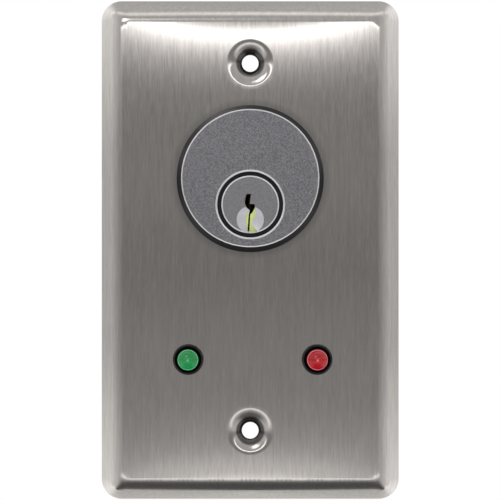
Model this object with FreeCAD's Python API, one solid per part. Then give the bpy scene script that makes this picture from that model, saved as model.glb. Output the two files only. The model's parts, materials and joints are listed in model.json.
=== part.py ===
"""Single-gang key switch: a pressed steel wall plate that carries a mortise lock cylinder,
two panel lamps and, behind them, a roller-lever snap switch that the cylinder's cam works.

Frame, in millimetres: +X to the right and +Z up as the plate is seen on the wall, and +Y into
the wall. The origin is the plate's centre in the wall plane, so all that shows has negative Y.
"""

import FreeCAD
import Part

import math
import os

V = FreeCAD.Vector
INTO_WALL = V(0, 1, 0)

# ---- wall plate ------------------------------------------------------------------------------
PLATE_WIDTH = 68.2
PLATE_HEIGHT = 114.3
PLATE_DEPTH = 5.6
PLATE_SHEET = 0.9
PLATE_CORNER_R = 4.6
FLANK_ANGLE = 60.0
SHOULDER_R = 1.9
CROWN = 1.0
CROWN_POWER_X = 10
CROWN_POWER_Z = 8
CROWN_EASE = 0.85

# ---- screw dimples, for oval-head device screws ---------------------------------------------
SCREW_SPACING = 83.34
SCREW_MIDDLE_Z = 0.7
SCREW_HOLE_R = 1.9
DIMPLE_R = 3.6
DIMPLE_SLOPE = 47.0
DIMPLE_ROLL_R = 2.4

# ---- mortise cylinder ------------------------------------------------------------------------
CYLINDER_Z = 16.1
HEAD_BASE_R = 16.6
HEAD_FACE_R = 15.45
HEAD_THICKNESS = 3.1
HEAD_EDGE = 0.25
EDGE_RING = 0.3
EDGE_RING_DEPTH = 0.045
THREAD_CREST_R = 14.6
THREAD_DEPTH = 0.5
THREAD_PITCH = 25.4 / 32
BODY_LENGTH = 28.6
BODY_HOLE_CLEARANCE = 0.25
BODY_SLOT_WIDTH = 3.2
BODY_SLOT_DEPTH = 1.2

# ---- plug and pins ---------------------------------------------------------------------------
PLUG_DROP = 5.9
PLUG_R = 6.35
PLUG_CLEARANCE = 0.04
PLUG_FACE_R = PLUG_R + 0.1
PLUG_FLANGE_R = PLUG_R + 0.85
PLUG_FLANGE_THICKNESS = 1.0
PLUG_GROOVE_DEPTH = 1.3
PLUG_STANDS_PROUD = 0.1
PLUG_TAIL = 0.4
COUNTERBORE_CLEARANCE = 0.2
COUNTERBORE_RING = 0.35
COUNTERBORE_RING_DEPTH = 0.06
DISH_R = 3.07
DISH_DEPTH = 0.7
DISH_DROP = 3.4
KEYWAY_MOUTH = 1.1
PIN_COUNT = 5
PIN_R = 1.46
PIN_CLEARANCE = 0.04
PIN_PITCH = 3.96
FIRST_PIN_BACK = 6.0
KEY_PIN_LENGTHS = (5.0, 6.0, 4.4, 5.6, 4.8)
KEY_PIN_TIP_R = 0.3
KEY_PIN_SEAT = 2.2
DRIVER_LENGTH = 4.6
SHEAR_GAP = 0.06
SPRING_R = 1.14
SPRING_WIRE_R = 0.16
SPRING_TURNS = 6
COVER_WIDTH = 4.4
COVER_THICKNESS = 1.0
COVER_CLEARANCE = 0.02

# ---- cam -------------------------------------------------------------------------------------
CAM_THICKNESS = 2.8
CAM_BASE_R = 8.0
CAM_TURN = 90.0
CAM_OVERRUN = 9.0
CAM_GAP = 0.06
CAM_SCREW_R = 1.0
CAM_SCREW_OFFSET = 4.1
CAM_SCREW_LENGTH = 5.0
CAM_SCREW_HEAD_R = 1.9
CAM_SCREW_HEAD = 1.3

# ---- nut, washer and bracket -----------------------------------------------------------------
NUT_ACROSS_FLATS = 36.5
NUT_THICKNESS = 5.0
WASHER_R = 17.6
WASHER_THICKNESS = 0.8
WASHER_TEETH = 12
BRACKET_SHEET = 1.2
BRACKET_WIDTH = 40.0
BRACKET_TOP = 35.0
BRACKET_GAP = 0.02
LEG_WIDTH = 30.0
LEG_TOP_Z = -6.0
BEND_INNER_R = 0.5

# ---- snap switch -----------------------------------------------------------------------------
SWITCH_LENGTH = 27.8
SWITCH_HEIGHT = 15.9
SWITCH_THICKNESS = 10.3
SWITCH_LEFT = -12.9
SWITCH_TOP_Z = -7.7
SWITCH_FRONT_Y = 20.0
SWITCH_WALL = 1.5
SWITCH_COVER = 1.2
SWITCH_HOLE_R = 1.6
SWITCH_HOLE_INSET = 2.8
SWITCH_HOLE_SPAN_X = 22.2
SWITCH_HOLE_SPAN_Z = 10.3
SWITCH_BOSS_R = 2.7
PLUNGER_R = 1.5
PLUNGER_CLEARANCE = 0.05
PLUNGER_ARM = 6.0
PLUNGER_TOP_GAP = 0.15
PLUNGER_DEPTH = 3.8
BLADE_GAP = 0.06
BLADE_SHEET = 0.25
BLADE_WIDTH = 4.0
BLADE_POST_X = 8.4
CONTACT_X = -7.7
CONTACT_R = 0.95
CONTACT_HEIGHT = 0.5
TERMINAL_SHEET = 0.8
TERMINAL_WIDTH = 6.3
TERMINAL_REACH = 8.2
TERMINAL_HOLE_R = 0.85
OPEN_TAB_X = 0.6

# ---- roller lever ----------------------------------------------------------------------------
LEVER_PIVOT_X = -10.4
LEVER_PIVOT_RISE = 1.45
LEVER_ARM = 11.4
LEVER_SHEET = 0.5
LEVER_WIDTH = 5.5
LEVER_REST_ANGLE = 15.0
LEVER_KNUCKLE_R = 1.25
HINGE_PIN_R = 0.75
HINGE_CLEARANCE = 0.04
HINGE_EAR = 1.0
ROLLER_R = 2.4
ROLLER_WIDTH = 3.6
ROLLER_PIN_R = 0.8
ROLLER_RISE = 2.75

# ---- switch fasteners ------------------------------------------------------------------------
SWITCH_SCREW_R = 1.5
SWITCH_SCREW_HEAD_R = 2.6
SWITCH_SCREW_HEAD = 1.8
SWITCH_NUT_FLATS = 5.5
SWITCH_NUT_THICKNESS = 2.4

# ---- lamps -----------------------------------------------------------------------------------
LAMP_MIDDLE_X = 0.55
LAMP_HALF_SPACING = 14.55
LAMP_Z = -24.7
LAMP_R = 2.5
LAMP_RIM_R = LAMP_R + 0.4
LAMP_RIM = 1.0
LAMP_LENGTH = 8.6
LAMP_DOME_PROUD = 2.5
HOLDER_RIM_R = LAMP_R + 0.95
HOLDER_RIM = 1.0
HOLDER_BARREL_R = LAMP_R + 0.65
HOLDER_CLEARANCE = 0.05
HOLDER_MOUTH = 0.6
RING_R = LAMP_R + 2.0
RING_LIP = 0.8
LEAD_SIDE = 0.5
LEAD_PITCH = 2.54
LEAD_LENGTH = 14.0

# ---- places worked out from the sizes above --------------------------------------------------
PLATE_FACE_Y = -PLATE_DEPTH
PLATE_BACK_Y = PLATE_FACE_Y + PLATE_SHEET
HEAD_FACE_Y = PLATE_FACE_Y - HEAD_THICKNESS
BODY_END_Y = PLATE_FACE_Y + BODY_LENGTH
THREAD_ROOT_R = THREAD_CREST_R - THREAD_DEPTH
PLUG_Z = CYLINDER_Z - PLUG_DROP
PLUG_FACE_Y = HEAD_FACE_Y - PLUG_STANDS_PROUD
PLUG_BORE_R = PLUG_R + PLUG_CLEARANCE
PLUG_GROOVE_Y = PLUG_FACE_Y + PLUG_GROOVE_DEPTH
PLUG_SEAT_Y = PLUG_GROOVE_Y + PLUG_FLANGE_THICKNESS
PLUG_END_Y = BODY_END_Y + PLUG_TAIL
CHAMBER_R = PIN_R + PIN_CLEARANCE
PIN_PLACES = tuple(HEAD_FACE_Y + FIRST_PIN_BACK + i * PIN_PITCH for i in range(PIN_COUNT))
COVER_BOTTOM_Z = CYLINDER_Z + THREAD_ROOT_R - COVER_THICKNESS - 0.2
DRIVER_BOTTOM_Z = PLUG_Z + PLUG_R + SHEAR_GAP
DRIVER_TOP_Z = DRIVER_BOTTOM_Z + DRIVER_LENGTH
KEY_PIN_BOTTOM_Z = PLUG_Z - KEY_PIN_SEAT + 0.05
CAM_END_Y = PLUG_END_Y + CAM_THICKNESS
SWITCH_BACK_Y = SWITCH_FRONT_Y + SWITCH_THICKNESS
SWITCH_MID_Y = (SWITCH_FRONT_Y + SWITCH_BACK_Y) / 2
SWITCH_COVER_Y = SWITCH_BACK_Y - SWITCH_COVER
SWITCH_RIGHT = SWITCH_LEFT + SWITCH_LENGTH
SWITCH_BOTTOM_Z = SWITCH_TOP_Z - SWITCH_HEIGHT
LEVER_PIVOT_Z = SWITCH_TOP_Z + LEVER_PIVOT_RISE
PLUNGER_X = LEVER_PIVOT_X + PLUNGER_ARM
PLUNGER_TOP_Z = (
    LEVER_PIVOT_Z
    + PLUNGER_ARM * math.tan(math.radians(LEVER_REST_ANGLE))
    - LEVER_SHEET / 2 / math.cos(math.radians(LEVER_REST_ANGLE))
    - PLUNGER_TOP_GAP
)
PLUNGER_BOTTOM_Z = SWITCH_TOP_Z - PLUNGER_DEPTH
PLUNGER_TRAVEL = PLUNGER_ARM * math.radians(LEVER_REST_ANGLE)
BLADE_TOP_Z = PLUNGER_BOTTOM_Z - BLADE_GAP
BLADE_BOTTOM_Z = BLADE_TOP_Z - BLADE_SHEET
BLADE_TURN = math.degrees(math.atan(PLUNGER_TRAVEL / (BLADE_POST_X - PLUNGER_X)))
LEFT_LAMP_X = LAMP_MIDDLE_X - LAMP_HALF_SPACING
RIGHT_LAMP_X = LAMP_MIDDLE_X + LAMP_HALF_SPACING
LAMP_HOLDER_FACE_Y = PLATE_FACE_Y - HOLDER_RIM
LAMP_TOP_Y = LAMP_HOLDER_FACE_Y - LAMP_DOME_PROUD + 0.1
LAMP_BACK_Y = LAMP_TOP_Y + LAMP_LENGTH
SWITCH_HOLES = (
    (SWITCH_LEFT + SWITCH_HOLE_INSET, SWITCH_BOTTOM_Z + SWITCH_HOLE_INSET),
    (
        SWITCH_LEFT + SWITCH_HOLE_INSET + SWITCH_HOLE_SPAN_X,
        SWITCH_BOTTOM_Z + SWITCH_HOLE_INSET + SWITCH_HOLE_SPAN_Z,
    ),
)
BIG = 60.0


# ---- shape helpers ---------------------------------------------------------------------------
def box(x0, x1, y0, y1, z0, z1):
    return Part.makeBox(x1 - x0, y1 - y0, z1 - z0, V(x0, y0, z0))


def rod_y(x, z, radius, y0, y1):
    """A round bar along Y."""
    return Part.makeCylinder(radius, y1 - y0, V(x, y0, z), INTO_WALL)


def rod_x(y, z, radius, x0, x1):
    return Part.makeCylinder(radius, x1 - x0, V(x0, y, z), V(1, 0, 0))


def rod_z(x, y, radius, z0, z1):
    return Part.makeCylinder(radius, z1 - z0, V(x, y, z0), V(0, 0, 1))


def polygon_face(points):
    return Part.Face(Part.makePolygon(points + points[:1]))


def turned_y(x, z, profile):
    """Turns a profile of (radius, y) points round the line through (x, z) along Y."""
    face = polygon_face([V(x + r, y, z) for r, y in profile])
    return face.revolve(V(x, 0, z), INTO_WALL, 360)


def turned_z(x, y, profile):
    """Turns a profile of (radius, z) points round the line through (x, y) along Z."""
    face = polygon_face([V(x + r, y, z) for r, z in profile])
    return face.revolve(V(x, y, 0), V(0, 0, 1), 360)


def slab_y(points, y0, y1):
    """A flat outline of (x, z) points, extruded from y0 to y1."""
    return polygon_face([V(x, y0, z) for x, z in points]).extrude(V(0, y1 - y0, 0))


def hexagon_y(x, z, across_flats, y0, y1):
    """A hexagonal bar along Y with flats above and below."""
    corner_r = across_flats / math.sqrt(3)
    corners = [math.radians(60 * i) for i in range(6)]
    return slab_y([(x + corner_r * math.cos(a), z + corner_r * math.sin(a)) for a in corners], y0, y1)


def joined(first, *others):
    return first.fuse(list(others)).removeSplitter()


def edges_where(shape, test):
    return [e for e in shape.Edges if test(e)]


def save(name, *shapes):
    solids = [s for shape in shapes for s in shape.Solids]
    for solid in solids:
        if not solid.isValid():
            raise ValueError(f"{name} has a solid that isn't valid")
    whole = solids[0] if len(solids) == 1 else Part.makeCompound(solids)
    whole.exportStep(f"parts/{name}.step")


# ---- wall plate ------------------------------------------------------------------------------
def rounded_outline(half_x, half_z, radius, y):
    """A rectangle with round corners, in the plane at y."""
    x, z = half_x - radius, half_z - radius
    k = radius * math.sqrt(0.5)
    edges = []
    for sx, sz in ((1, 1), (-1, 1), (-1, -1), (1, -1)):
        a, b = V(sx * half_x, y, sz * z), V(sx * x, y, sz * half_z)
        start, end = (a, b) if sx * sz > 0 else (b, a)
        edges.append(Part.Arc(start, V(sx * (x + k), y, sz * (z + k)), end).toShape())
    sides = [(edges[i], edges[(i + 1) % 4]) for i in range(4)]
    lines = [Part.makeLine(a.Vertexes[-1].Point, b.Vertexes[0].Point) for a, b in sides]
    return Part.Wire([piece for pair in zip(edges, lines) for piece in pair])


def crown_drop(x, z):
    """How far the crowned face lies behind its middle."""
    across, along = abs(2 * x / PLATE_WIDTH), abs(2 * z / PLATE_HEIGHT)
    ends = along**CROWN_POWER_Z * (1 - CROWN_EASE * across**2)
    sides = across**CROWN_POWER_X * (1 - along**CROWN_POWER_Z)
    return CROWN * (ends + sides * (1 - CROWN_EASE))


def in_front_of_crown(inset):
    """All the space in front of the crowned face, moved back by inset."""
    steps_x, steps_z = 24, 40
    rows = []
    for i in range(steps_x + 1):
        x = PLATE_WIDTH * (i / steps_x - 0.5)
        column = [PLATE_HEIGHT * (j / steps_z - 0.5) for j in range(steps_z + 1)]
        rows.append([V(x, PLATE_FACE_Y + inset + crown_drop(x, z), z) for z in column])
    surface = Part.BSplineSurface()
    surface.interpolate(rows)
    return surface.toShape().extrude(V(0, -BIG / 4, 0))


def plate_block(inset, foot_y):
    """The plate's outside as a full block, or its hollow if inset is the sheet's thickness."""
    lean = 1 / math.tan(math.radians(FLANK_ANGLE))
    side_in = inset / math.sin(math.radians(FLANK_ANGLE))
    wires = []
    for y in (foot_y, PLATE_FACE_Y - 0.3):
        back_off = side_in - y * lean
        wires.append(
            rounded_outline(
                PLATE_WIDTH / 2 - back_off, PLATE_HEIGHT / 2 - back_off, PLATE_CORNER_R - back_off, y
            )
        )
    block = Part.makeLoft(wires, True, True).cut(in_front_of_crown(inset))
    brow = edges_where(block, lambda e: e.BoundBox.YMax < PLATE_FACE_Y / 2)
    return block.makeFillet(SHOULDER_R - inset, brow)


def dimple_front(z, deep_r):
    """The cone that is pressed into the face, from the face down to the screw hole."""
    slope = math.tan(math.radians(DIMPLE_SLOPE))
    face_y = PLATE_FACE_Y + crown_drop(0, z)
    bottom_y = face_y + (DIMPLE_R - deep_r) * slope
    top_r = DIMPLE_R + slope ** -1 * 2
    return turned_y(0, z, [(0, face_y - 2), (top_r, face_y - 2), (deep_r, bottom_y), (0, bottom_y)])


def dimple_boss(z):
    """The metal that the pressed cone pushes out behind the face."""
    slope = math.tan(math.radians(DIMPLE_SLOPE))
    spread = PLATE_SHEET / math.sin(math.radians(DIMPLE_SLOPE))
    face_y = PLATE_FACE_Y + crown_drop(0, z)
    back_y = face_y + (DIMPLE_R - SCREW_HOLE_R) * slope + PLATE_SHEET * 0.7
    foot_y = face_y + PLATE_SHEET / 2
    back_r = DIMPLE_R + spread - (back_y - face_y) / slope
    foot_r = DIMPLE_R + spread - (foot_y - face_y) / slope
    return turned_y(0, z, [(0, foot_y), (foot_r, foot_y), (back_r, back_y), (0, back_y)])


def make_faceplate():
    plate = plate_block(0, 0)
    hollow = plate_block(PLATE_SHEET, 1.0)
    screws = (SCREW_MIDDLE_Z + SCREW_SPACING / 2, SCREW_MIDDLE_Z - SCREW_SPACING / 2)
    for z in screws:
        plate = plate.cut(dimple_front(z, SCREW_HOLE_R))
        hollow = hollow.cut(dimple_boss(z))
    mouths = [
        e
        for e in plate.Edges
        if abs(e.BoundBox.XLength - 2 * DIMPLE_R) < 0.3 and e.BoundBox.YMax < PLATE_FACE_Y + 0.6
    ]
    plate = plate.makeFillet(DIMPLE_ROLL_R, mouths)
    plate = plate.cut(hollow)
    for z in screws:
        plate = plate.cut(rod_y(0, z, SCREW_HOLE_R, -BIG, BIG))
    plate = plate.cut(rod_y(0, CYLINDER_Z, THREAD_CREST_R + BODY_HOLE_CLEARANCE, -BIG, BIG))
    for x in (LEFT_LAMP_X, RIGHT_LAMP_X):
        plate = plate.cut(rod_y(x, LAMP_Z, HOLDER_BARREL_R + HOLDER_CLEARANCE, -BIG, BIG))
    save("faceplate", plate)


# ---- mortise cylinder ------------------------------------------------------------------------
def make_cylinder_shell():
    neck_end = PLATE_BACK_Y + THREAD_PITCH / 4
    profile = [
        (0, BODY_END_Y),
        (0, HEAD_FACE_Y),
        (HEAD_FACE_R - EDGE_RING, HEAD_FACE_Y),
        (HEAD_FACE_R, HEAD_FACE_Y + EDGE_RING_DEPTH),
        (HEAD_BASE_R, PLATE_FACE_Y - HEAD_EDGE),
        (HEAD_BASE_R, PLATE_FACE_Y),
        (THREAD_ROOT_R, PLATE_FACE_Y),
        (THREAD_ROOT_R, neck_end),
    ]
    turns = int((BODY_END_Y - neck_end) / THREAD_PITCH)
    for i in range(turns):
        y = neck_end + i * THREAD_PITCH
        profile.append((THREAD_CREST_R, y + 0.42 * THREAD_PITCH))
        profile.append((THREAD_CREST_R, y + 0.52 * THREAD_PITCH))
        profile.append((THREAD_ROOT_R, y + 0.94 * THREAD_PITCH))
        profile.append((THREAD_ROOT_R, y + THREAD_PITCH))
    profile.append((THREAD_ROOT_R, BODY_END_Y))
    shell = turned_y(0, CYLINDER_Z, profile)
    for side in (-1, 1):
        x0, x1 = sorted((side * (THREAD_CREST_R - BODY_SLOT_DEPTH), side * (THREAD_CREST_R + 2)))
        half = BODY_SLOT_WIDTH / 2
        slot = box(x0, x1, PLATE_FACE_Y + 5, BODY_END_Y + 1, CYLINDER_Z - half, CYLINDER_Z + half)
        shell = shell.cut(slot)
    half = COVER_WIDTH / 2
    shell = shell.cut(box(-half, half, PLATE_BACK_Y, BODY_END_Y + 1, COVER_BOTTOM_Z, BIG))

    rim_r = PLUG_FLANGE_R + COUNTERBORE_CLEARANCE
    seat_y = PLUG_SEAT_Y + 0.05
    bore = turned_y(
        0,
        PLUG_Z,
        [
            (0, BODY_END_Y + 1),
            (0, HEAD_FACE_Y - 1),
            (rim_r + COUNTERBORE_RING, HEAD_FACE_Y - 1),
            (rim_r + COUNTERBORE_RING, HEAD_FACE_Y),
            (rim_r, HEAD_FACE_Y + COUNTERBORE_RING_DEPTH),
            (rim_r, seat_y),
            (PLUG_BORE_R, seat_y),
            (PLUG_BORE_R, BODY_END_Y + 1),
        ],
    )
    shell = shell.cut(bore)
    for y in PIN_PLACES:
        shell = shell.cut(rod_z(0, y, CHAMBER_R, PLUG_Z, COVER_BOTTOM_Z + 0.5))
    save("cylinder_shell", shell)


def keyway_mouth():
    """The keyway at the plug's face, as (x, z) from the plug's axis."""
    left = [(-0.8, 2.35), (-1.14, 1.3), (-1.24, 0.36), (-0.83, -0.72), (0.0, -1.4), (-0.6, -2.2)]
    left += [(-1.07, -3.0), (-0.55, -PLUG_R + 0.2)]
    right = [(1.5, -PLUG_R + 0.2), (1.5, -5.8), (0.4, -4.65), (0.28, -3.8), (1.05, -2.85)]
    right += [(1.2, -1.65), (1.05, -0.7), (1.0, 0.05), (-0.1, 0.15), (0.2, 2.35)]
    return left + right


def keyway_depths():
    """The warded keyway behind the mouth: the same above, and a narrow slot below."""
    left = [(-0.8, 2.35), (-1.14, 1.3), (-1.24, 0.36), (-0.83, -0.72), (-0.1, -1.3), (-0.32, -2.2)]
    left += [(-0.62, -PLUG_R + 0.35)]
    right = [(-0.2, -PLUG_R + 0.35), (0.02, -2.2), (0.5, -1.75), (1.05, -0.7), (1.0, 0.05)]
    right += [(-0.1, 0.15), (0.2, 2.35)]
    return left + right


def make_cylinder_plug():
    plug = turned_y(
        0,
        PLUG_Z,
        [
            (0, PLUG_END_Y),
            (0, PLUG_FACE_Y),
            (PLUG_FACE_R - EDGE_RING, PLUG_FACE_Y),
            (PLUG_FACE_R, PLUG_FACE_Y + EDGE_RING_DEPTH),
            (PLUG_FACE_R, PLUG_GROOVE_Y),
            (PLUG_FLANGE_R, PLUG_GROOVE_Y),
            (PLUG_FLANGE_R, PLUG_SEAT_Y),
            (PLUG_R, PLUG_SEAT_Y),
            (PLUG_R, PLUG_END_Y),
        ],
    )
    ball_r = (DISH_R**2 + DISH_DEPTH**2) / (2 * DISH_DEPTH)
    ball_y = PLUG_FACE_Y + DISH_DEPTH - ball_r
    plug = plug.cut(Part.makeSphere(ball_r, V(0, ball_y, PLUG_Z - DISH_DROP)))
    mouth = [(x, PLUG_Z + z) for x, z in keyway_mouth()]
    plug = plug.cut(slab_y(mouth, PLUG_FACE_Y - 1, PLUG_FACE_Y + KEYWAY_MOUTH))
    depths = [(x, PLUG_Z + z) for x, z in keyway_depths()]
    plug = plug.cut(slab_y(depths, PLUG_FACE_Y - 1, PLUG_END_Y + 1))
    open_bottom = box(-0.6, -0.22, PLUG_SEAT_Y + 0.5, PLUG_END_Y + 1, PLUG_Z - PLUG_R - 1, PLUG_Z - 5.9)
    plug = plug.cut(open_bottom)
    for y in PIN_PLACES:
        chamber = [
            (0, PLUG_Z - KEY_PIN_SEAT),
            (KEY_PIN_TIP_R, PLUG_Z - KEY_PIN_SEAT),
            (CHAMBER_R, PLUG_Z - KEY_PIN_SEAT + CHAMBER_R - KEY_PIN_TIP_R),
            (CHAMBER_R, PLUG_Z + PLUG_R + 1),
            (0, PLUG_Z + PLUG_R + 1),
        ]
        plug = plug.cut(turned_z(0, y, chamber))
    for side in (-1, 1):
        x = side * CAM_SCREW_OFFSET
        plug = plug.cut(rod_y(x, PLUG_Z, CAM_SCREW_R, PLUG_END_Y - CAM_SCREW_LENGTH, PLUG_END_Y + 1))
    save("cylinder_plug", plug)


def make_pins():
    """A key pin, a driver pin and a spring in each chamber, and the strip that covers them all."""
    for i, y in enumerate(PIN_PLACES):
        top_z = KEY_PIN_BOTTOM_Z + KEY_PIN_LENGTHS[i]
        key_pin = [
            (0, KEY_PIN_BOTTOM_Z),
            (KEY_PIN_TIP_R, KEY_PIN_BOTTOM_Z),
            (PIN_R, KEY_PIN_BOTTOM_Z + PIN_R - KEY_PIN_TIP_R),
            (PIN_R, top_z - 0.2),
            (PIN_R - 0.3, top_z),
            (0, top_z),
        ]
        driver = [
            (0, DRIVER_BOTTOM_Z),
            (PIN_R - 0.2, DRIVER_BOTTOM_Z),
            (PIN_R, DRIVER_BOTTOM_Z + 0.2),
            (PIN_R, DRIVER_TOP_Z - 0.3),
            (PIN_R - 0.3, DRIVER_TOP_Z),
            (0, DRIVER_TOP_Z),
        ]
        save(f"key_pin_{i + 1}", turned_z(0, y, key_pin))
        save(f"driver_pin_{i + 1}", turned_z(0, y, driver))
        save(f"pin_spring_{i + 1}", coil_spring(y, DRIVER_TOP_Z, COVER_BOTTOM_Z))
    half = COVER_WIDTH / 2 - COVER_CLEARANCE
    cover = box(
        -half,
        half,
        PIN_PLACES[0] - CHAMBER_R,
        PIN_PLACES[-1] + PIN_PITCH,
        COVER_BOTTOM_Z,
        COVER_BOTTOM_Z + COVER_THICKNESS,
    )
    save("chamber_cover", cover)


def coil_spring(y, low_z, high_z):
    """A round-wire compression spring that stands between two levels."""
    height = high_z - low_z - 2 * SPRING_WIRE_R - 0.02
    helix = Part.makeHelix(height / SPRING_TURNS, height, SPRING_R)
    wire = Part.Wire(Part.makeCircle(SPRING_WIRE_R, V(SPRING_R, 0, 0), INTO_WALL))
    spring = Part.Wire(helix.Edges).makePipeShell([wire], True, True)
    spring.translate(V(0, y, low_z + SPRING_WIRE_R + 0.01))
    return spring


# ---- cam -------------------------------------------------------------------------------------
def roller_centre(press):
    """Where the roller's centre is, as (x, z), with the lever pressed by this angle from rest."""
    angle = math.radians(LEVER_REST_ANGLE - press)
    along, up = V(math.cos(angle), 0, math.sin(angle)), V(-math.sin(angle), 0, math.cos(angle))
    place = V(LEVER_PIVOT_X, 0, LEVER_PIVOT_Z) + along * LEVER_ARM + up * ROLLER_RISE
    return place.x, place.z


def cam_path_point(turn):
    """The roller's centre seen from the cam, once the cam has turned clockwise by this angle."""
    x, z = roller_centre(LEVER_REST_ANGLE * turn / CAM_TURN)
    z -= PLUG_Z
    t = math.radians(turn)
    return V(x * math.cos(t) - z * math.sin(t), 0, x * math.sin(t) + z * math.cos(t))


def cam_flank_point(turn):
    """The cam's edge where the roller touches it: the roller's path, set in by its radius."""
    ahead, behind = cam_path_point(turn + 0.5), cam_path_point(turn - 0.5)
    run = (ahead - behind).normalize()
    inward = V(-run.z, 0, run.x)
    here = cam_path_point(turn)
    if inward.dot(here) > 0:
        inward = inward * -1
    return here + inward * (ROLLER_R + CAM_GAP)


def make_cam():
    steps = 18
    span = CAM_TURN + 2 * CAM_OVERRUN
    flank = [cam_flank_point(-CAM_OVERRUN + span * i / steps) for i in range(steps + 1)]
    centre = V(0, PLUG_END_Y, PLUG_Z)
    flank = [centre + p for p in flank]
    curve = Part.BSplineCurve()
    curve.interpolate(flank)
    start, end = flank[0], flank[-1]
    nose_angle = math.atan2(end.z - PLUG_Z, end.x) + math.radians(16)
    back_angle = math.atan2(start.z - PLUG_Z, start.x) - math.radians(4)

    def on_base(angle):
        return centre + V(CAM_BASE_R * math.cos(angle), 0, CAM_BASE_R * math.sin(angle))

    base_start, base_end = on_base(nose_angle), on_base(back_angle)
    base_arc = Part.Arc(base_start, on_base((nose_angle + back_angle) / 2 + math.pi), base_end)
    nose_mid = (end + base_start) * 0.5 + (end - centre).normalize() * 0.5
    nose = Part.Arc(end, nose_mid, base_start)
    outline = [curve.toShape(), nose.toShape(), base_arc.toShape(), Part.makeLine(base_end, start)]
    cam = Part.Face(Part.Wire(outline)).extrude(V(0, CAM_THICKNESS, 0))
    screws = []
    for side in (-1, 1):
        x = side * CAM_SCREW_OFFSET
        cam = cam.cut(rod_y(x, PLUG_Z, CAM_SCREW_R + 0.1, PLUG_END_Y - 1, CAM_END_Y + 1))
        screws.append(cam_screw(x))
    save("actuator_cam", cam)
    save("cam_screws", *screws)


def cam_screw(x):
    head_end = CAM_END_Y + CAM_SCREW_HEAD
    screw = turned_y(
        x,
        PLUG_Z,
        [
            (0, PLUG_END_Y - CAM_SCREW_LENGTH + 0.3),
            (CAM_SCREW_R, PLUG_END_Y - CAM_SCREW_LENGTH + 0.6),
            (CAM_SCREW_R, CAM_END_Y),
            (CAM_SCREW_HEAD_R, CAM_END_Y),
            (CAM_SCREW_HEAD_R, head_end - 0.5),
            (CAM_SCREW_HEAD_R - 0.45, head_end),
            (0, head_end),
        ],
    )
    arm = CAM_SCREW_HEAD_R * 0.62
    for dx, dz in ((arm, 0.28), (0.28, arm)):
        cross = box(x - dx, x + dx, head_end - 0.8, head_end + 1, PLUG_Z - dz, PLUG_Z + dz)
        screw = screw.cut(cross)
    return screw


# ---- nut, washer and bracket -----------------------------------------------------------------
def bracket_front_y():
    """Just behind the deepest part of the crowned sheet that the bracket covers."""
    corner = crown_drop(BRACKET_WIDTH / 2, BRACKET_TOP)
    return PLATE_BACK_Y + corner + BRACKET_GAP


def make_bracket():
    front_y = bracket_front_y()
    back_y = front_y + BRACKET_SHEET
    flange_back_y = SWITCH_FRONT_Y
    flange_front_y = flange_back_y - BRACKET_SHEET
    leg_low_z = LEG_TOP_Z - BRACKET_SHEET
    foot_z = SWITCH_BOTTOM_Z - 0.3
    half = BRACKET_WIDTH / 2
    section = [
        (front_y, BRACKET_TOP),
        (back_y, BRACKET_TOP),
        (back_y, LEG_TOP_Z),
        (flange_back_y, LEG_TOP_Z),
        (flange_back_y, foot_z),
        (flange_front_y, foot_z),
        (flange_front_y, leg_low_z),
        (front_y, leg_low_z),
    ]
    bent = polygon_face([V(-half, y, z) for y, z in section]).extrude(V(BRACKET_WIDTH, 0, 0))

    def corner_edges(*places):
        return edges_where(
            bent,
            lambda e: e.BoundBox.XLength > half
            and any(
                abs(e.BoundBox.YMin - y) < 0.01 and abs(e.BoundBox.ZMin - z) < 0.01 for y, z in places
            ),
        )

    bent = bent.makeFillet(BEND_INNER_R, corner_edges((back_y, LEG_TOP_Z), (flange_front_y, leg_low_z)))
    bent = bent.makeFillet(
        BEND_INNER_R + BRACKET_SHEET, corner_edges((flange_back_y, LEG_TOP_Z), (front_y, leg_low_z))
    )
    cheek_y = back_y + BEND_INNER_R + 0.5
    for side in (-1, 1):
        x0, x1 = sorted((side * LEG_WIDTH / 2, side * (half + 1)))
        bent = bent.cut(box(x0, x1, cheek_y, BIG, -BIG, BIG))
        bent = bent.cut(box(x0, x1, -BIG, BIG, -BIG, LEG_TOP_Z + BEND_INNER_R + 0.5))
        tip = [(side * half, BRACKET_TOP), (side * half, BRACKET_TOP - 9), (side * (half - 9), BRACKET_TOP)]
        bent = bent.cut(slab_y(tip, front_y - 1, back_y + 1))
    bent = bent.cut(rod_y(0, CYLINDER_Z, THREAD_CREST_R + BODY_HOLE_CLEARANCE, -BIG, SWITCH_FRONT_Y / 2))
    for x, z in SWITCH_HOLES:
        bent = bent.cut(rod_y(x, z, SWITCH_HOLE_R, flange_front_y - 1, flange_back_y + 1))
    save("switch_bracket", bent)


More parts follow.
